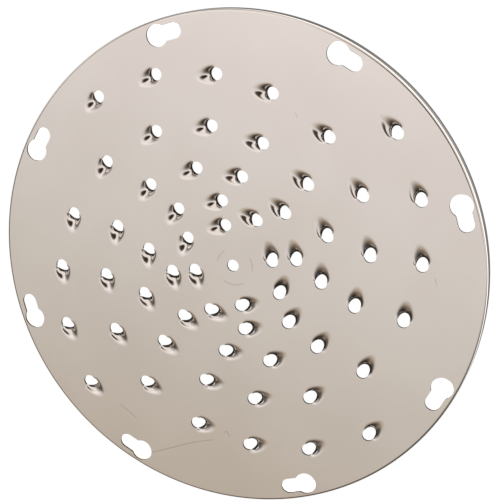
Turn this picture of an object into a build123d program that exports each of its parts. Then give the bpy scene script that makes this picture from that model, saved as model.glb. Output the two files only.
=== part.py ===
"""Shredder disc of a food processor: one pressed sheet of stainless steel.

It lies on the edge of its flange with the smooth face up. Millimetres, +Z up, the axis of the
disc on Z, and +X through the seat of one keyhole. The teeth stand down into the hollow.
"""

import os
from math import cos, degrees, radians, sin, tan

from build123d import *

# The sheet and the shallow pan that it is pressed into.
sheet = 1.0
outer_dia = 225.8
flange_height = 6.3
bend_radius = 1.2
bend_flats = 4

# Keyholes: a stud's head goes in at the round entry, and its neck slides along to the seat.
keyhole_count = 8
keyhole_inset = 6.7
entry_dia = 10.0
seat_width = 6.9
seat_travel = 8.2

centre_hole_dia = 5.5

# Teeth stand on rings of equal pitch. From ring to ring they step round by one angle in each
# zone of rings, so that their tracks together sweep the whole sheet. A zone is its count of
# steps and the angle of one step. Like the keyholes, the last ring is set in from the rim.
teeth_per_ring = 4
first_ring_r = 18.6
last_ring_inset = 16.5
first_turn = -3.8
turn_zones = ((1, 51.7), (3, 37.1), (3, 27.4), (4, 22.7), (3, 18.1))

# One tooth: a round hole, and beside it a scoop pressed down to a lip that faces the hole.
# Its rounds have few flats, because there are so many of them.
tooth_hole_dia = 5.5
scoop_radius = 2.8
scoop_slope = 30.0
scoop_reach = 8.1
scoop_wall = 0.85
lip_set_back = 2.7
lip_bevel = 48.0
tooth_skew = 9.0
tooth_flats = 16

# Sizes and planes that follow from those above. A tooth is drawn with the face at z = 0, its
# hole at the origin and its mouth towards +x.
outer_r = outer_dia / 2
face_z = flange_height
keyhole_circle_r = outer_r - keyhole_inset
ring_steps = sum(steps for steps, _ in turn_zones)
ring_pitch = (outer_r - last_ring_inset - first_ring_r) / ring_steps
slope, bevel = radians(scoop_slope), radians(lip_bevel)
lip_depth = (scoop_reach - lip_set_back) * tan(slope)
scoop_across = Plane(
    origin=(scoop_radius / sin(slope) - scoop_reach, 0, 0),
    x_dir=(0, 1, 0),
    z_dir=(cos(slope), 0, -sin(slope)),
)
lip_plane = Plane(
    origin=(-lip_set_back, 0, -lip_depth),
    x_dir=(0, 1, 0),
    z_dir=(sin(bevel), 0, -cos(bevel)),
)
seat_turn = degrees(seat_travel / keyhole_circle_r)


def bend_points():
    """The bend between the face and the flange, in section."""
    turns = [radians(90 * step / bend_flats) for step in range(bend_flats + 1)]
    centre_r, centre_z = outer_r - bend_radius, face_z - bend_radius
    return [(centre_r + bend_radius * sin(a), centre_z + bend_radius * cos(a)) for a in turns]


def tooth_places():
    """One location on the face for each tooth, with x to its mouth, which looks clockwise."""
    turns = [first_turn]
    for steps, angle in turn_zones:
        for _ in range(steps):
            turns.append(turns[-1] + angle)
    places = []
    for ring, turn in enumerate(turns):
        for quarter in range(teeth_per_ring):
            around = Location((0, 0, face_z), (0, 0, turn + quarter * 360 / teeth_per_ring))
            out = Location((first_ring_r + ring * ring_pitch, 0, 0), (0, 0, tooth_skew - 90))
            places.append(around * out)
    return places


def scoop_bar(radius):
    """A bar along the sloping axis of a scoop, which its inside and its outside share."""
    with BuildPart() as bar:
        with BuildSketch(scoop_across):
            RegularPolygon(radius, tooth_flats)
        extrude(amount=2 * scoop_reach, both=True)
    return bar.part


# The outside of a scoop, from the middle of the sheet down to its bevelled lip.
with BuildPart() as hood:
    add(scoop_bar(scoop_radius + scoop_wall))
    split(bisect_by=Plane.XY.offset(-sheet / 2), keep=Keep.BOTTOM)
    split(bisect_by=lip_plane, keep=Keep.BOTTOM)

# What a tooth leaves open: the inside of its scoop, and the round hole beside it.
with BuildPart() as opening:
    add(scoop_bar(scoop_radius))
    split(bisect_by=Plane.YZ, keep=Keep.BOTTOM)
    with BuildSketch(Plane.XY.offset(sheet)):
        RegularPolygon(tooth_hole_dia / 2, tooth_flats)
    extrude(amount=-2 * sheet)

# One keyhole, cut along the circle that its stud travels on.
with BuildSketch() as keyhole:
    with PolarLocations(keyhole_circle_r, 1, start_angle=seat_turn):
        Circle(entry_dia / 2)
    with BuildLine():
        track = CenterArc((0, 0), keyhole_circle_r, 0, seat_turn)
    SlotArc(track, seat_width)

with BuildPart() as shredder_disc:
    # The pan, turned from the section of its sheet.
    with BuildSketch(Plane.XZ):
        with BuildLine():
            Polyline(
                (0, face_z),
                *bend_points(),
                (outer_r, 0),
                (outer_r - sheet, 0),
                (outer_r - sheet, face_z - sheet),
                (0, face_z - sheet),
                close=True,
            )
        make_face()
    revolve(axis=Axis.Z)

    teeth = tooth_places()
    with Locations(*teeth):
        add(hood.part)
    with Locations(*teeth):
        add(opening.part, mode=Mode.SUBTRACT)

    with BuildSketch(Plane.XY.offset(face_z)):
        with PolarLocations(0, keyhole_count):
            add(keyhole.sketch)
        Circle(centre_hole_dia / 2)
    extrude(amount=-2 * sheet, mode=Mode.SUBTRACT)

shredder_disc.part.label = "shredder_disc"
os.makedirs("parts", exist_ok=True)
export_step(shredder_disc.part, "parts/shredder_disc.step")
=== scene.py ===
"""Looks of a food processor's shredding disc, pressed from one sheet of stainless steel.

The disc is modelled as its maker forms it: the upper side of a flat sheet with its punched
holes, its pressed teeth and its turned rim, which then gets the thickness of the sheet.
"""

from collections import Counter
from math import acos, atan2, cos, hypot, log2, pi, radians, sin

import bpy
from bpy.props import FloatProperty, FloatVectorProperty, PointerProperty
from bpy.types import Operator, Panel, PropertyGroup
from mathutils import Matrix, Vector


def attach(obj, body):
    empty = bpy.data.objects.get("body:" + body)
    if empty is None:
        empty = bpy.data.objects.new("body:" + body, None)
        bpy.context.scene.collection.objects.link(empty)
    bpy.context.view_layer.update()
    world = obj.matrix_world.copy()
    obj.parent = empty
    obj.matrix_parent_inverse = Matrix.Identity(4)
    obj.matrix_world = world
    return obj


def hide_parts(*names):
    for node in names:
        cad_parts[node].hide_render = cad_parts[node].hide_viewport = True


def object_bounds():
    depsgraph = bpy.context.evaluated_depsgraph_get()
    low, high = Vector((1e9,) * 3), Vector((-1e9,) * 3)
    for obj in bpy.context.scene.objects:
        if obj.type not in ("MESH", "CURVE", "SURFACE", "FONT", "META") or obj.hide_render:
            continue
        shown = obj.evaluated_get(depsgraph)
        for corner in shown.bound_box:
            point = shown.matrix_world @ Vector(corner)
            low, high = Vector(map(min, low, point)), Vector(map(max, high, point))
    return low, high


bl_info = {
    "name": "Shredding Disc",
    "version": (1, 0, 0),
    "blender": (4, 5, 0),
    "location": "3D View > Sidebar > Shredding Disc",
    "description": "Models the pressed steel shredding disc of a food processor on its frame",
    "category": "Object",
}

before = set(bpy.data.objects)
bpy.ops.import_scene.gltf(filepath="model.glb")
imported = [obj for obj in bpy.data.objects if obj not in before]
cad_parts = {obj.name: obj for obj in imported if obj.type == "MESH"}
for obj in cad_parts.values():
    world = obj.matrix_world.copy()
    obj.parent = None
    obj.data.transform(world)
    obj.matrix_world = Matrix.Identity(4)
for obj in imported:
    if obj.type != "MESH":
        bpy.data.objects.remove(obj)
cad_low, cad_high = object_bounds()

DISC_NODE = "shredder_disc"

# How finely the round stretches are drawn.
RIM_POINTS = 384
BEND_STEPS = 8
HOLE_POINTS = 48
PRESS_STEPS = 9
SEAT_STEPS = 16
ENTRY_STEPS = 32
FLOOR_POINTS = 128

# Above 1, the rings of a scoop lie closer together by its lip, where it is steepest.
RING_CROWDING = 1.8

# From ring to ring the teeth step round by one angle in each zone: how many steps, and the angle
# in degrees.
TURN_ZONES = ((1, 51.7), (3, 37.1), (3, 27.4), (4, 22.7), (3, 18.1))
TEETH_PER_RING = 4
KEYHOLES = 8

# Points nearer than this are one, and edges sharper than these angles are softened or stay sharp.
WELD = 1e-6
SOFTENED_FROM = radians(50)
SHARP_FROM = radians(40)

# Old marks on the face, in metres: from where to where each scratch runs, and its width.
SCRATCHES = (
    ((-0.0642, -0.0824), (-0.0401, -0.0797), 0.00050),
    ((-0.0401, -0.0797), (-0.0320, -0.0797), 0.00040),
    ((-0.0246, -0.0769), (-0.0234, -0.0763), 0.00045),
    ((-0.0234, -0.0763), (-0.0227, -0.0792), 0.00045),
    ((-0.0736, -0.0566), (-0.0677, -0.0638), 0.00040),
    ((0.0813, 0.0522), (0.0819, 0.0481), 0.00025),
    ((0.0883, -0.0206), (0.0884, -0.0237), 0.00030),
    ((0.0451, 0.0605), (0.0454, 0.0583), 0.00030),
)

# A washer's broken ring: its middle, radius and half width, where each of its arcs has its middle
# and how far it goes to each side, in degrees, and how far its ends fade to each side.
WASHER_MIDDLE = (0.0006, -0.0006)
WASHER_RADIUS = 0.0084
WASHER_LINE = 0.0005
WASHER_ARCS = ((252, 32), (-4, 19), (130, 18))
WASHER_FADE = 9

# Marks lie on the face down to the first depth and are gone at the second. The scoops begin to be
# polished at the third and are all polished at the fourth.
MARKS_TO, MARKS_END = 0.0001, 0.0002
POLISH_FROM, POLISH_FULL = 0.0001, 0.0008

# Heights of the two thin pieces of floor under the disc, the glowing strip by the rim and the painted
# shadow, which lie on the large one.
STRIP_HEIGHT = 0.00005
SHADED_HEIGHT = 0.00004

# Directions in the studio, with x and y in the face of the disc and z up.
FAR_SIDE = (0.552, 0.834, 0.0)
BRIGHT_SIDE = (-0.25, 0.97, 0.0)
NEAR_SIDE = (0.95, 0.31, 0.0)
UP = (0.0, 0.0, 1.0)
UP_AND_NEAR = (0.46, 0.06, 1.0)

# Where the colours of the studio's walls stand between its dim side and its far side.
WALL_STOPS = (0.03, 0.13, 0.24, 0.305, 0.368, 0.50, 0.64)

# Soft steps in the studio: where each begins and ends, and the levels before and after it.
SIDE_STEP = (-0.95, -0.25, 0.2, 1.25)
HORIZON_STEP = (0.04, 0.56, 0.2, 1.0)
NEAR_GROUND_STEP = (0.0, 0.5, 0.65, 2.2)
SHADOW_STEP = (-0.88, -0.70, 0.3, 1.0)
GROUND_STEP = (-0.32, -0.06, 1.0, 0.0)

# Round patches in the studio: the direction of the middle, the angles in degrees up to which a
# patch is full and at which it ends, and its strength.
CAMERA_PATCH = ((0.36, 0.17, 0.92), 16, 30, 1.0)
DARK_SCREEN = ((-0.68, 0.42, 0.60), 15, 24, 0.45)
PALE_PANEL = ((-0.79, 0.61, 0.02), 14, 24, 1.0)
FILL_CARD = ((-0.52, -0.74, 0.42), 20, 42, 0.65)


def length(name, description, metres):
    """A length that the sidebar shows in the scene's units."""
    return FloatProperty(name=name, description=description, default=metres, min=0.0,
                         unit="LENGTH", precision=5)


def share(name, description, value):
    """A plain factor from none to all."""
    return FloatProperty(name=name, description=description, default=value, min=0.0, max=1.0,
                         subtype="FACTOR")


def power(name, description, value):
    """The power of a curve."""
    return FloatProperty(name=name, description=description, default=value, min=0.3, max=4.0)


def colour(name, description, value):
    """A linear colour."""
    return FloatVectorProperty(name=name, description=description, default=value, size=3,
                               min=0.0, max=1.0, subtype="COLOR")


class SheetSizes(PropertyGroup):
    """Sizes of the pan that the sheet is pressed into, and of its punched holes."""

    outer_radius: length("Outer radius", "From the axis to the outside of the rim",
                         min(cad_high.x, cad_high.y, -cad_low.x, -cad_low.y))
    height: length("Height", "From the rim's edge to the smooth face", cad_high.z)
    thickness: length("Sheet", "Thickness of the sheet", 0.001)
    bend_radius: length("Bend", "Outer radius where the rim turns down", 0.0012)
    edge_round: length("Edge round", "Width of the worn corner along punched edges", 0.00009)
    margin: length("Margin", "Narrow flat band that keeps the face flat beside a hole", 0.00012)
    rim_margin: length("Rim margin", "Narrow flat band that keeps the face flat beside the rim", 0.0001)
    keyhole_circle: length("Keyhole circle", "Radius of the circle the keyholes lie on", 0.1062)
    entry_radius: length("Entry", "Radius of a keyhole's round entry", 0.005)
    seat_radius: length("Seat", "Half the width of a keyhole's slot", 0.00345)
    seat_travel: length("Travel", "From the middle of the entry to the middle of the seat", 0.0082)
    centre_radius: length("Centre hole", "Radius of the hole on the axis", 0.00275)


class ToothSizes(PropertyGroup):
    """Sizes of one tooth, and the rings that the teeth stand on."""

    hole_radius: length("Hole", "Radius of a tooth's punched hole", 0.00276)
    margin: length("Margin", "Flat band that keeps the face flat beside a tooth", 0.0004)
    tip_reach: length("Tip", "From the middle of the hole to where the pressed scoop begins", 0.0097)
    inner_reach: length("Inner side", "From the hole's middle to the scoop's side by the axis", 0.0047)
    outer_reach: length("Outer side", "From the hole's middle to the scoop's side by the rim", 0.0049)
    inner_taper: share("Inner taper", "Share by which the side by the axis narrows at the tip", 0.24)
    lip_depth: length("Lip", "How far the lip is pressed below the face", 0.0032)
    lip_back: share("Lip set back", "Share by which the lip stands behind the hole's round edge", 0.18)
    inner_spread: share("Inner spread", "How far the pressed lip goes round by the axis", 0.84)
    outer_spread: share("Outer spread", "How far the pressed lip goes round by the rim", 0.90)
    lip_round: power("Lip round", "How the lip's depth falls off to its ends", 0.58)
    tip_fall: power("Tip fall", "How softly the scoop leaves the face at its tip", 1.6)
    inner_fall: power("Inner fall", "How softly the scoop leaves the face by the axis", 2.4)
    outer_fall: power("Outer fall", "How softly the scoop leaves the face by the rim", 2.8)
    tip_wall: power("Tip wall", "How the scoop ends at the lip at its tip, steeper when smaller", 0.6)
    inner_wall: power("Inner wall", "How the scoop ends at the lip by the axis", 0.7)
    outer_wall: power("Outer wall", "How the scoop ends at the lip by the rim", 0.95)
    skew: FloatProperty(name="Skew", description="How far a scoop turns in from its ring",
                        default=radians(7.0), subtype="ANGLE")
    first_ring: length("First ring", "Radius of the innermost ring of teeth", 0.0186)
    ring_pitch: length("Ring pitch", "From one ring of teeth to the next", 0.005557)
    first_turn: FloatProperty(name="First turn", description="Angle of the first tooth",
                              default=radians(-3.8), subtype="ANGLE")


class SteelFinish(PropertyGroup):
    """Looks of the satin stainless steel."""

    bright: colour("Clean steel", "Colour of the clean sheet", (0.765, 0.70, 0.65))
    dull: colour("Handled steel", "Colour where the sheet has been handled", (0.735, 0.668, 0.615))
    stain: colour("Stain", "Colour of old smudges and scratches", (0.42, 0.36, 0.30))
    satin: share("Satin", "Roughness of the flat sheet", 0.20)
    pressed: share("Pressed", "Roughness where the punch has polished the scoops", 0.06)
    # The two edge colours are darker than bare sheared steel: a dull finish, and painted shade on the
    # walls of the holes.
    torn_edge_and_shade: colour("Torn edge with painted shade", "Colour of the dull part of a punched edge", (0.06, 0.052, 0.045))
    shorn_edge_and_shade: colour("Shorn edge with painted shade", "Colour of the smoother lines of a punched edge", (0.16, 0.14, 0.125))
    edge_dull: share("Edge", "Roughness of a punched edge", 0.5)
    grain: share("Grain", "Strength of the fine rolling lines", 0.10)
    mark_strength: share("Marks", "Strength of the old marks on the face", 0.5)


class StageSettings(PropertyGroup):
    """Floor, light and camera."""

    floor: colour("Floor", "Colour of the floor", (1.0, 1.0, 1.0))
    floor_size: length("Floor size", "Width of the floor", 12.0)
    # A strip of floor by the rim glows brighter than the floor to paint a bright reflection on the
    # inside of the rim.
    ring_inner: length("Ring inside", "Inner radius of the strip of floor by the rim", 0.1079)
    ring_outer: length("Ring outside", "Outer radius of the strip of floor by the rim", 0.1120)
    # Painted shadow: the faint glow of a dark sheet under the disc, which only reflections see.
    shaded: colour("Shaded floor", "Glow of the floor in the shade of the disc", (0.03, 0.027, 0.024))
    far: colour("Far side", "Colour of the studio behind the bright side", (0.85, 0.84, 0.83))
    light: colour("Bright side", "Colour of the bright side of the studio", (1.0, 0.99, 0.99))
    half: colour("Middle", "Colour of the studio between its sides", (0.726, 0.717, 0.727))
    mild: colour("Mild side", "Colour of the studio beyond its middle", (0.619, 0.613, 0.589))
    dusk: colour("Dim side", "Colour of the studio towards its dark side", (0.501, 0.464, 0.405))
    dim: colour("Dimmer side", "Colour of the studio further to its dark side", (0.385, 0.315, 0.255))
    shade: colour("Dark side", "Colour of the dark side of the studio", (0.31, 0.26, 0.22))
    behind: colour("Behind the camera", "Colour of the studio's dark patches", (0.052, 0.034, 0.024))
    camera_place: FloatVectorProperty(name="Camera", description="Where the camera stands",
                                      default=(0.2134, 0.1012, 0.5156), subtype="XYZ", unit="LENGTH")
    camera_turn: FloatVectorProperty(name="Camera turn", description="How the camera is turned",
                                     default=(radians(-14.976), radians(18.753), radians(-14.619)),
                                     subtype="EULER")
    lens: FloatProperty(name="Lens", description="Focal length on a 36 mm sensor", default=90.73,
                        unit="CAMERA")


class DiscSettings(PropertyGroup):
    """All settings of the disc and its stage."""

    sheet: PointerProperty(type=SheetSizes)
    tooth: PointerProperty(type=ToothSizes)
    steel: PointerProperty(type=SteelFinish)
    stage: PointerProperty(type=StageSettings)


def select_only(objects):
    """Selects these objects alone, the first one active."""
    bpy.ops.object.select_all(action="DESELECT")
    for item in objects:
        item.select_set(True)
    bpy.context.view_layer.objects.active = objects[0]


def join(objects, name):
    """Joins the objects into the first one."""
    select_only(objects)
    bpy.ops.object.join()
    objects[0].name = name
    return objects[0]


def add_loop(name, points):
    """A closed ring of edges through the points."""
    bpy.ops.object.select_all(action="DESELECT")
    bpy.ops.mesh.primitive_circle_add(vertices=len(points))
    loop = bpy.context.object
    loop.name = name
    for vertex, point in zip(loop.data.vertices, points):
        vertex.co = point
    return loop


def copies(piece, places):
    """The piece once at each place, each copy with a mesh of its own, in place of the pattern."""
    made = []
    for place in places:
        twin = piece.copy()
        twin.data = piece.data.copy()
        twin.data.transform(place)
        bpy.context.collection.objects.link(twin)
        made.append(twin)
    bpy.data.objects.remove(piece)
    return made


def tooth_places(tooth, face):
    """Where each tooth stands, with its own x towards its mouth, which looks clockwise."""
    turns = [tooth.first_turn]
    for steps, angle in TURN_ZONES:
        turns += [turns[-1] + radians(angle) * step for step in range(1, steps + 1)]
    places = []
    for ring, turn in enumerate(turns):
        out = Matrix.Translation((tooth.first_ring + ring * tooth.ring_pitch, 0, face))
        skew = Matrix.Rotation(tooth.skew - pi / 2, 4, "Z")
        for quarter in range(TEETH_PER_RING):
            around = Matrix.Rotation(turn + quarter * 2 * pi / TEETH_PER_RING, 4, "Z")
            places.append(around @ out @ skew)
    return places


def pressed_point(tooth, angle, out):
    """A point on the upper side of a tooth.

    The angle goes round the hole from the mouth. Out is 0 on the hole's edge, which becomes the
    lip on the pressed side, and 1 where the scoop has curved up into the face.
    """
    along, across = cos(angle), sin(angle)
    hole, tip = tooth.hole_radius, max(0, -along)
    side, spread = tooth.outer_reach, tooth.outer_spread
    side_fall, side_wall = tooth.outer_fall, tooth.outer_wall
    if across < 0:
        side = tooth.inner_reach * (1 - tooth.inner_taper * tip * tip)
        spread = tooth.inner_spread
        side_fall, side_wall = tooth.inner_fall, tooth.inner_wall
    reach = tooth.tip_reach if along < 0 else tooth.inner_reach
    near = hole * (1 + tooth.lip_back) if along < 0 else hole
    sideways = across * across
    fall = tooth.tip_fall + (side_fall - tooth.tip_fall) * sideways
    wall = tooth.tip_wall + (side_wall - tooth.tip_wall) * sideways
    aside = (pi - abs(angle)) / spread
    lip = cos(aside) ** tooth.lip_round if aside < pi / 2 else 0
    return Vector((
        along * (near + (reach - near) * out),
        across * (hole + (side - hole) * out),
        -tooth.lip_depth * lip * (1 - out ** wall) ** fall,
    ))


def press_tooth(tooth):
    """One tooth as a ring of sheet round its hole, with one side pressed down to the lip."""
    bpy.ops.object.select_all(action="DESELECT")
    bpy.ops.mesh.primitive_circle_add(vertices=HOLE_POINTS, radius=tooth.hole_radius)
    piece = bpy.context.object
    bpy.ops.object.mode_set(mode="EDIT")
    bpy.ops.mesh.select_all(action="SELECT")
    for _ in range(PRESS_STEPS + 1):
        bpy.ops.mesh.extrude_region_move()
        bpy.ops.transform.resize(value=(2, 2, 1), center_override=(0, 0, 0))
    bpy.ops.object.mode_set(mode="OBJECT")
    for vertex in piece.data.vertices:
        ring = round(log2(hypot(vertex.co.x, vertex.co.y) / tooth.hole_radius))
        angle = atan2(vertex.co.y, vertex.co.x)
        if ring > PRESS_STEPS:
            vertex.co = beside_tooth(tooth, angle)
        else:
            vertex.co = pressed_point(tooth, angle, (ring / PRESS_STEPS) ** RING_CROWDING)
    return piece


def beside_tooth(tooth, angle):
    """A point on the flat face, a margin outside the press mark of a tooth."""
    point = pressed_point(tooth, angle, 1)
    return point + point.normalized() * tooth.margin


def tooth_outline(tooth):
    """The closed line on the face that the ring of sheet round a tooth ends at."""
    angles = [pi - 2 * pi * step / HOLE_POINTS for step in range(HOLE_POINTS)]
    return [beside_tooth(tooth, angle) for angle in angles]


def keyhole_outline(sheet, margin):
    """One keyhole: a slot along the circle that its stud travels on, and a round entry."""
    circle = sheet.keyhole_circle
    entry, half = sheet.entry_radius + margin, sheet.seat_radius + margin
    turn = sheet.seat_travel / circle
    turns = [pi * step / SEAT_STEPS for step in range(SEAT_STEPS + 1)]
    points = [(circle + half * cos(around), -half * sin(around), 0) for around in turns]
    corners = []
    for radius in (circle - half, circle + half):
        near = acos((circle ** 2 + radius ** 2 - entry ** 2) / (2 * circle * radius))
        corners.append(Vector((radius * cos(turn - near), radius * sin(turn - near), 0)))
    middle = Vector((circle * cos(turn), circle * sin(turn), 0))
    first, last = [atan2(*(corner - middle).yx) for corner in corners]
    sweep = (first - last) % (2 * pi)
    for step in range(ENTRY_STEPS + 1):
        angle = first - sweep * step / ENTRY_STEPS
        points.append(middle + Vector((entry * cos(angle), entry * sin(angle), 0)))
    return points


def round_outline(radius, count):
    """A circle round the axis."""
    return [(radius * cos(2 * pi * k / count), radius * sin(2 * pi * k / count), 0)
            for k in range(count)]


def band(name, inner, outer):
    """A narrow flat band between two outlines with as many points each."""
    piece = join([add_loop(name, inner), add_loop(name, outer)], name)
    bpy.ops.object.mode_set(mode="EDIT")
    bpy.ops.mesh.select_all(action="SELECT")
    bpy.ops.mesh.bridge_edge_loops()
    bpy.ops.object.mode_set(mode="OBJECT")
    return piece


def keyhole_places(sheet):
    """Where each keyhole is, the first with its seat on the x axis."""
    lift = Matrix.Translation((0, 0, sheet.height))
    return [Matrix.Rotation(2 * pi * k / KEYHOLES, 4, "Z") @ lift for k in range(KEYHOLES)]


def punch_holes(sheet):
    """The bands of sheet round the keyholes and the centre hole."""
    keyhole = band("Keyhole", keyhole_outline(sheet, 0), keyhole_outline(sheet, sheet.margin))
    centre = band("Centre hole", round_outline(sheet.centre_radius, HOLE_POINTS),
                  round_outline(sheet.centre_radius + sheet.margin, HOLE_POINTS))
    places = keyhole_places(sheet)
    return copies(keyhole, places) + copies(centre, places[:1])


def fill_face(sheet, tooth, places):
    """The flat face between the rim, the bands round the holes and the teeth."""
    flat = sheet.outer_radius - sheet.bend_radius - sheet.rim_margin
    keyholes = keyhole_places(sheet)
    loops = copies(add_loop("Rim line", round_outline(flat, RIM_POINTS)), keyholes[:1])
    centre = round_outline(sheet.centre_radius + sheet.margin, HOLE_POINTS)
    loops += copies(add_loop("Centre line", centre), keyholes[:1])
    loops += copies(add_loop("Keyhole line", keyhole_outline(sheet, sheet.margin)), keyholes)
    loops += copies(add_loop("Tooth line", tooth_outline(tooth)), places)
    face = join(loops, "Face")
    bpy.ops.object.mode_set(mode="EDIT")
    bpy.ops.mesh.select_all(action="SELECT")
    bpy.ops.mesh.fill(use_beauty=True)
    bpy.ops.object.mode_set(mode="OBJECT")
    return face


def turn_rim(sheet):
    """The bend and the wall of the rim, drawn down ring by ring from the edge of the face."""
    flat = sheet.outer_radius - sheet.bend_radius
    line = round_outline(flat - sheet.rim_margin, RIM_POINTS)
    rim = copies(add_loop("Rim", line), keyhole_places(sheet)[:1])[0]
    select_only([rim])
    profile = [(flat - sheet.rim_margin, sheet.height), (flat, sheet.height)]
    for step in range(1, BEND_STEPS + 1):
        angle = pi / 2 * step / BEND_STEPS
        profile.append((flat + sheet.bend_radius * sin(angle),
                        sheet.height - sheet.bend_radius * (1 - cos(angle))))
    profile.append((sheet.outer_radius, (sheet.height - sheet.bend_radius) / 2))
    profile.append((sheet.outer_radius, 0))
    bpy.ops.object.mode_set(mode="EDIT")
    bpy.ops.mesh.select_all(action="SELECT")
    for (radius, high), (wider, low) in zip(profile, profile[1:]):
        bpy.ops.mesh.extrude_region_move(TRANSFORM_OT_translate={"value": (0, 0, low - high)})
        bpy.ops.transform.resize(value=(wider / radius, wider / radius, 1), center_override=(0, 0, low))
    bpy.ops.object.mode_set(mode="OBJECT")
    return rim


def finish_sheet(skin, sheet):
    """Welds the upper side together, gives it the sheet's thickness and breaks its sharp edges."""
    select_only([skin])
    bpy.ops.object.mode_set(mode="EDIT")
    bpy.ops.mesh.select_all(action="SELECT")
    bpy.ops.mesh.remove_doubles(threshold=WELD)
    bpy.ops.mesh.normals_make_consistent(inside=False)
    bpy.ops.object.mode_set(mode="OBJECT")
    if sum(face.normal.z * face.area for face in skin.data.polygons) < 0:
        bpy.ops.object.mode_set(mode="EDIT")
        bpy.ops.mesh.flip_normals()
        bpy.ops.object.mode_set(mode="OBJECT")
    thicken = skin.modifiers.new("Sheet thickness", "SOLIDIFY")
    thicken.thickness = sheet.thickness
    thicken.offset = -1
    thicken.use_even_offset = True
    # The walls of the holes and the sheet's edges get the second material, whose dark colours paint
    # shade.
    thicken.material_offset_rim = 1
    bpy.ops.object.modifier_apply(modifier=thicken.name)
    soften = skin.modifiers.new("Worn edges", "BEVEL")
    soften.width = sheet.edge_round
    soften.segments = 2
    soften.limit_method = "ANGLE"
    soften.angle_limit = SOFTENED_FROM
    bpy.ops.object.modifier_apply(modifier=soften.name)
    bpy.ops.object.shade_smooth_by_angle(angle=SHARP_FROM)


def check_closed(piece):
    """Stops the script unless each edge of the piece lies between two faces."""
    uses = Counter(edge for face in piece.data.polygons for edge in face.edge_keys)
    if set(uses.values()) != {2}:
        raise RuntimeError(f"{piece.name} isn't closed")


def add_node(tree, kind, label, **settings):
    """One labelled node with its settings."""
    made = tree.nodes.new(kind)
    made.label = label
    for key, value in settings.items():
        setattr(made, key, value)
    return made


def near_zero(tree, value, flat, fade, label):
    """A share that is 1 while the value is within flat of zero, and 0 from fade on."""
    size = add_node(tree, "ShaderNodeMath", label, operation="ABSOLUTE")
    tree.links.new(value, size.inputs[0])
    share_of = add_node(tree, "ShaderNodeMapRange", label)
    share_of.inputs["From Min"].default_value = flat
    share_of.inputs["From Max"].default_value = fade
    share_of.inputs["To Min"].default_value = 1.0
    share_of.inputs["To Max"].default_value = 0.0
    tree.links.new(size.outputs["Value"], share_of.inputs["Value"])
    return share_of.outputs["Result"]


def combine(tree, operation, first, second, label):
    """Two shares joined by one sum, product or choice."""
    made = add_node(tree, "ShaderNodeMath", label, operation=operation)
    for socket, value in zip(made.inputs, (first, second)):
        if isinstance(value, float):
            socket.default_value = value
        else:
            tree.links.new(value, socket)
    return made.outputs["Value"]


def towards(tree, way, direction, label):
    """How far a direction points one way, from -1 to 1."""
    dot = add_node(tree, "ShaderNodeVectorMath", label, operation="DOT_PRODUCT")
    dot.inputs[1].default_value = direction
    tree.links.new(way, dot.inputs[0])
    return dot.outputs["Value"]


def soft_step(tree, value, levels, label):
    """A soft step: where it begins and ends, and the levels before and after it."""
    step = add_node(tree, "ShaderNodeMapRange", label, interpolation_type="SMOOTHSTEP")
    for socket, number in zip(("From Min", "From Max", "To Min", "To Max"), levels):
        step.inputs[socket].default_value = number
    tree.links.new(value, step.inputs["Value"])
    return step.outputs["Result"]


def round_patch(tree, way, aim, full, end, strength, label):
    """A round patch about a direction, full up to one angle and gone at another."""
    facing = towards(tree, way, Vector(aim).normalized(), label)
    return soft_step(tree, facing, (cos(radians(end)), cos(radians(full)), 0.0, strength), label)


def scratch_mark(tree, place, start, end, width):
    """Where a straight scratch lies on the face, as a share."""
    start, end = Vector(start), Vector(end)
    half = (end - start).length / 2
    along = add_node(tree, "ShaderNodeMapping", "Along a scratch", vector_type="TEXTURE")
    along.inputs["Location"].default_value = (*((start + end) / 2), 0)
    along.inputs["Rotation"].default_value = (0, 0, atan2(*(end - start).yx))
    tree.links.new(place, along.inputs["Vector"])
    parts = add_node(tree, "ShaderNodeSeparateXYZ", "Along and across")
    tree.links.new(along.outputs["Vector"], parts.inputs["Vector"])
    length_share = near_zero(tree, parts.outputs["X"], half, half + width, "Length")
    width_share = near_zero(tree, parts.outputs["Y"], 0.0, width, "Width")
    return combine(tree, "MULTIPLY", length_share, width_share, "Scratch")


def washer_mark(tree, place):
    """Where a washer has left broken arcs round the centre hole, as a share."""
    shift = add_node(tree, "ShaderNodeMapping", "From the washer's middle", vector_type="TEXTURE")
    shift.inputs["Location"].default_value = (*WASHER_MIDDLE, 0)
    tree.links.new(place, shift.inputs["Vector"])
    flat = add_node(tree, "ShaderNodeVectorMath", "In the face", operation="MULTIPLY")
    flat.inputs[1].default_value = (1, 1, 0)
    tree.links.new(shift.outputs["Vector"], flat.inputs[0])
    away = add_node(tree, "ShaderNodeVectorMath", "Distance", operation="LENGTH")
    tree.links.new(flat.outputs["Vector"], away.inputs[0])
    offset = combine(tree, "SUBTRACT", away.outputs["Value"], WASHER_RADIUS, "From the arc")
    arc = near_zero(tree, offset, 0.0, WASHER_LINE, "Arc")
    around = add_node(tree, "ShaderNodeVectorMath", "Way round", operation="NORMALIZE")
    tree.links.new(flat.outputs["Vector"], around.inputs[0])
    kept = None
    for middle, half in WASHER_ARCS:
        aim = (cos(radians(middle)), sin(radians(middle)), 0)
        piece = round_patch(tree, around.outputs["Vector"], aim, half - WASHER_FADE,
                            half + WASHER_FADE, 1.0, "Arc's length")
        kept = piece if kept is None else combine(tree, "MAXIMUM", kept, piece, "Arcs")
    return combine(tree, "MULTIPLY", arc, kept, "Washer mark")


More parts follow.
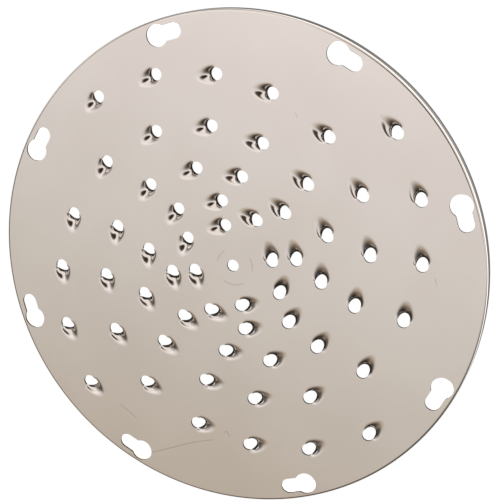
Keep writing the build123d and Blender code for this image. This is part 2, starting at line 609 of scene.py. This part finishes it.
def satin_steel(steel, sheet):
    """Satin sheet steel: rolling lines, handling marks, and scoops that the punch has polished."""
    material = bpy.data.materials.new("Satin stainless steel")
    material.use_nodes = True
    tree = material.node_tree
    link = tree.links.new
    shader = tree.nodes["Principled BSDF"]
    shader.inputs["Metallic"].default_value = 1.0
    place = add_node(tree, "ShaderNodeTexCoord", "Place on the disc")

    clouds = add_node(tree, "ShaderNodeTexNoise", "Handling")
    clouds.inputs["Scale"].default_value = 22.0
    clouds.inputs["Detail"].default_value = 4.0
    link(place.outputs["Object"], clouds.inputs["Vector"])
    tone = add_node(tree, "ShaderNodeValToRGB", "Clean to handled")
    tone.color_ramp.elements[0].position = 0.35
    tone.color_ramp.elements[0].color = (*steel.dull, 1)
    tone.color_ramp.elements[1].position = 0.62
    tone.color_ramp.elements[1].color = (*steel.bright, 1)
    link(clouds.outputs["Fac"], tone.inputs["Fac"])

    split = add_node(tree, "ShaderNodeSeparateXYZ", "Height")
    link(place.outputs["Object"], split.inputs["Vector"])
    marks = washer_mark(tree, place.outputs["Object"])
    for start, end, width in SCRATCHES:
        scratch = scratch_mark(tree, place.outputs["Object"], start, end, width)
        marks = combine(tree, "MAXIMUM", marks, scratch, "Marks")
    below = combine(tree, "SUBTRACT", split.outputs["Z"], sheet.height, "Below the face")
    on_face = near_zero(tree, below, MARKS_TO, MARKS_END, "On the face")
    marks = combine(tree, "MULTIPLY", marks, on_face, "Marks on the face")
    marks = combine(tree, "MULTIPLY", marks, steel.mark_strength, "Strength of the marks")
    marked = add_node(tree, "ShaderNodeMix", "Marked steel", data_type="RGBA")
    link(marks, marked.inputs["Factor"])
    link(tone.outputs["Color"], marked.inputs["A"])
    marked.inputs["B"].default_value = (*steel.stain, 1)
    link(marked.outputs["Result"], shader.inputs["Base Color"])

    polish = add_node(tree, "ShaderNodeMapRange", "Satin to polished")
    polish.inputs["From Min"].default_value = sheet.height - POLISH_FULL
    polish.inputs["From Max"].default_value = sheet.height - POLISH_FROM
    polish.inputs["To Min"].default_value = steel.pressed
    polish.inputs["To Max"].default_value = steel.satin
    link(split.outputs["Z"], polish.inputs["Value"])
    link(polish.outputs["Result"], shader.inputs["Roughness"])

    turn = add_node(tree, "ShaderNodeMapping", "Along the rolling lines")
    turn.inputs["Rotation"].default_value = (0, 0, radians(25))
    turn.inputs["Scale"].default_value = (1, 40, 40)
    link(place.outputs["Object"], turn.inputs["Vector"])
    lines = add_node(tree, "ShaderNodeTexNoise", "Rolling lines")
    lines.inputs["Scale"].default_value = 120.0
    lines.inputs["Detail"].default_value = 3.0
    link(turn.outputs["Vector"], lines.inputs["Vector"])
    bump = add_node(tree, "ShaderNodeBump", "Rolled surface")
    bump.inputs["Strength"].default_value = steel.grain
    bump.inputs["Distance"].default_value = 0.00002
    link(lines.outputs["Fac"], bump.inputs["Height"])
    link(bump.outputs["Normal"], shader.inputs["Normal"])
    return material


def sheared_edge_with_painted_shade(steel):
    """The wall of a punched hole: dull and rough, with smoother lines the way the punch went. Its
    colours are much darker than bare steel, partly for the sheared finish and partly as painted shade
    in the holes.
    """
    material = bpy.data.materials.new("Sheared steel edge with painted shade")
    material.use_nodes = True
    tree = material.node_tree
    link = tree.links.new
    shader = tree.nodes["Principled BSDF"]
    shader.inputs["Metallic"].default_value = 1.0
    shader.inputs["Roughness"].default_value = steel.edge_dull
    place = add_node(tree, "ShaderNodeTexCoord", "Place on the disc")
    drawn = add_node(tree, "ShaderNodeMapping", "Along the punch")
    drawn.inputs["Scale"].default_value = (1, 1, 0.15)
    link(place.outputs["Object"], drawn.inputs["Vector"])
    lines = add_node(tree, "ShaderNodeTexNoise", "Punch lines")
    lines.inputs["Scale"].default_value = 3000.0
    link(drawn.outputs["Vector"], lines.inputs["Vector"])
    # Dark edge colours: partly the sheared finish, partly painted shade in the holes.
    tone = add_node(tree, "ShaderNodeValToRGB", "Torn to shorn")
    tone.color_ramp.elements[0].position = 0.4
    tone.color_ramp.elements[0].color = (*steel.torn_edge_and_shade, 1)
    tone.color_ramp.elements[1].position = 0.65
    tone.color_ramp.elements[1].color = (*steel.shorn_edge_and_shade, 1)
    link(lines.outputs["Fac"], tone.inputs["Fac"])
    link(tone.outputs["Color"], shader.inputs["Base Color"])
    return material


def studio_world(stage):
    """A soft studio over a pale ground: a bright side, a dim side and a dark horizon.

    It is dark behind the camera. A dark screen, a pale panel and a grey fill card stand round the disc.
    """
    world = bpy.data.worlds.new("Studio")
    world.use_nodes = True
    tree = world.node_tree
    link = tree.links.new
    sky = tree.nodes["Background"]
    way = add_node(tree, "ShaderNodeTexCoord", "Direction").outputs["Generated"]

    across = towards(tree, way, FAR_SIDE, "Away from the dim side")
    span = add_node(tree, "ShaderNodeMapRange", "Dim side to far side")
    span.inputs["From Min"].default_value = -1.0
    span.inputs["From Max"].default_value = 1.0
    link(across, span.inputs["Value"])
    ramp = add_node(tree, "ShaderNodeValToRGB", "Studio walls")
    ramp.color_ramp.elements[0].color = (*stage.shade, 1)
    ramp.color_ramp.elements[1].color = (*stage.far, 1)
    tints = (stage.shade, stage.dim, stage.dusk, stage.mild, stage.half, stage.light, stage.far)
    for at, tint in zip(WALL_STOPS, tints):
        ramp.color_ramp.elements.new(at).color = (*tint, 1)
    link(span.outputs["Result"], ramp.inputs["Fac"])

    bright = towards(tree, way, BRIGHT_SIDE, "Towards the bright side")
    level = soft_step(tree, bright, SIDE_STEP, "Dimmer on the other side")
    sloping = towards(tree, way, UP_AND_NEAR, "Height, more on the near side")
    low = soft_step(tree, sloping, HORIZON_STEP, "Dark horizon")
    panel = round_patch(tree, way, *PALE_PANEL, "Pale panel")
    low = combine(tree, "MAXIMUM", low, panel, "Horizon with its panel")
    fill = round_patch(tree, way, *FILL_CARD, "Grey fill card")
    low = combine(tree, "MAXIMUM", low, fill, "Horizon with its fill card")
    level = combine(tree, "MULTIPLY", level, low, "Level above the horizon")
    upper = add_node(tree, "ShaderNodeVectorMath", "Studio", operation="SCALE")
    link(ramp.outputs["Color"], upper.inputs[0])
    link(level, upper.inputs["Scale"])

    dark = round_patch(tree, way, *CAMERA_PATCH, "Dark behind the camera")
    screen = round_patch(tree, way, *DARK_SCREEN, "Dark screen")
    dark = combine(tree, "MAXIMUM", dark, screen, "Dark places")
    patched = add_node(tree, "ShaderNodeMix", "Studio with its dark places", data_type="RGBA")
    patched.inputs["B"].default_value = (*stage.behind, 1)
    link(dark, patched.inputs["Factor"])
    link(upper.outputs["Vector"], patched.inputs["A"])

    height = towards(tree, way, UP, "Height")
    nearby = towards(tree, way, NEAR_SIDE, "Towards the near side")
    floor = soft_step(tree, nearby, NEAR_GROUND_STEP, "Ground, paler on the near side")
    under = soft_step(tree, height, SHADOW_STEP, "Shadow under the disc")
    under = combine(tree, "MULTIPLY", under, floor, "Ground with its shadow")
    ground = soft_step(tree, height, GROUND_STEP, "Pale ground")
    both = add_node(tree, "ShaderNodeMix", "Studio over the ground", data_type="RGBA")
    link(ground, both.inputs["Factor"])
    link(patched.outputs["Result"], both.inputs["A"])
    link(under, both.inputs["B"])
    link(both.outputs["Result"], sky.inputs["Color"])
    bpy.context.scene.world = world


def floor_paint(name, base, glow, strength):
    """A dull floor with a glow of its own."""
    material = bpy.data.materials.new(name)
    material.use_nodes = True
    shader = material.node_tree.nodes["Principled BSDF"]
    shader.inputs["Base Color"].default_value = (base, base, base, 1)
    shader.inputs["Specular IOR Level"].default_value = 0.0
    shader.inputs["Roughness"].default_value = 0.9
    shader.inputs["Emission Color"].default_value = (*glow, 1)
    shader.inputs["Emission Strength"].default_value = strength
    return material


def glowing_floor_ring(stage):
    """A strip of floor by the rim that glows half again as bright as the floor, which paints a bright
    reflection on the inside of the rim.
    """
    bpy.ops.object.select_all(action="DESELECT")
    bpy.ops.mesh.primitive_circle_add(vertices=FLOOR_POINTS, radius=stage.ring_inner,
                                      location=(0, 0, STRIP_HEIGHT))
    ring = bpy.context.object
    ring.name = "Glowing_floor_ring"
    bpy.ops.object.mode_set(mode="EDIT")
    bpy.ops.mesh.select_all(action="SELECT")
    bpy.ops.mesh.extrude_region_move()
    wider = stage.ring_outer / stage.ring_inner
    bpy.ops.transform.resize(value=(wider, wider, 1), center_override=(0, 0, 0))
    bpy.ops.object.mode_set(mode="OBJECT")
    # Painted reflection: the strip glows half again as bright as the floor.
    ring.data.materials.append(floor_paint("Glowing strip for the rim's reflection", 0.02, stage.floor, 1.5))
    return ring


def shaded_floor(stage):
    """A dark sheet of painted shadow under the disc, which shows only in reflections."""
    bpy.ops.object.select_all(action="DESELECT")
    bpy.ops.mesh.primitive_circle_add(vertices=FLOOR_POINTS, radius=stage.ring_inner,
                                      fill_type="NGON", location=(0, 0, SHADED_HEIGHT))
    floor = bpy.context.object
    floor.name = "Floor_in_shade"
    floor.visible_camera = False
    floor.data.materials.append(floor_paint("Floor in the shade", 0.03, stage.shaded, 1.0))
    return floor


class SHREDDER_OT_press_disc(Operator):
    """Press the disc from its sheet, with its teeth, keyholes and rim"""

    bl_idname = "shredder.press_disc"
    bl_label = "Press the disc"
    bl_options = {"REGISTER", "UNDO"}

    def execute(self, context):
        settings = context.scene.shredding_disc
        places = tooth_places(settings.tooth, settings.sheet.height)
        face = fill_face(settings.sheet, settings.tooth, places)
        holes = punch_holes(settings.sheet)
        teeth = copies(press_tooth(settings.tooth), places)
        disc = join([face, turn_rim(settings.sheet), *holes, *teeth], "Shredding_disc")
        disc.data.materials.clear()
        disc.data.materials.append(satin_steel(settings.steel, settings.sheet))
        disc.data.materials.append(sheared_edge_with_painted_shade(settings.steel))
        finish_sheet(disc, settings.sheet)
        check_closed(disc)
        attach(disc, "root")
        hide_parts(DISC_NODE)
        return {"FINISHED"}


class SHREDDER_OT_set_stage(Operator):
    """Set up the pale floor, the soft light and the camera"""

    bl_idname = "shredder.set_stage"
    bl_label = "Set the stage"
    bl_options = {"REGISTER", "UNDO"}

    def execute(self, context):
        stage = context.scene.shredding_disc.stage
        bpy.ops.object.select_all(action="DESELECT")
        bpy.ops.mesh.primitive_plane_add(size=stage.floor_size)
        floor = context.object
        floor.name = "Floor"
        floor.data.materials.append(floor_paint("White floor", 0.02, stage.floor, 1.0))
        floor.visible_glossy = False
        # A glowing strip by the rim paints a bright reflection on its inside.
        glowing_floor_ring(stage)
        # A dark sheet under the disc paints its shadow in the reflections.
        shaded_floor(stage)

        studio_world(stage)
        context.scene.view_settings.view_transform = "Standard"

        camera = bpy.data.objects.new("Camera", bpy.data.cameras.new("Camera"))
        camera.location = stage.camera_place
        camera.rotation_euler = stage.camera_turn
        camera.data.lens = stage.lens
        camera.data.sensor_width = 36.0
        camera.data.clip_start = 0.01
        context.scene.collection.objects.link(camera)
        context.scene.camera = camera
        return {"FINISHED"}


class SHREDDER_PT_sidebar(Panel):
    """Buttons and settings of the disc"""

    bl_idname = "SHREDDER_PT_sidebar"
    bl_label = "Shredding disc"
    bl_space_type = "VIEW_3D"
    bl_region_type = "UI"
    bl_category = "Shredding Disc"

    def draw(self, context):
        settings = context.scene.shredding_disc
        layout = self.layout
        for operator in (SHREDDER_OT_press_disc, SHREDDER_OT_set_stage):
            layout.operator(operator.bl_idname)
        for group in (settings.sheet, settings.tooth, settings.steel, settings.stage):
            box = layout.box()
            for key in group.__annotations__:
                box.prop(group, key)


CLASSES = (
    SheetSizes,
    ToothSizes,
    SteelFinish,
    StageSettings,
    DiscSettings,
    SHREDDER_OT_press_disc,
    SHREDDER_OT_set_stage,
    SHREDDER_PT_sidebar,
)


def register():
    for item in CLASSES:
        bpy.utils.register_class(item)
    bpy.types.Scene.shredding_disc = PointerProperty(type=DiscSettings)


def unregister():
    del bpy.types.Scene.shredding_disc
    for item in reversed(CLASSES):
        bpy.utils.unregister_class(item)


def main():
    register()
    bpy.ops.shredder.press_disc()
    bpy.ops.shredder.set_stage()


if __name__ == "__main__":
    main()
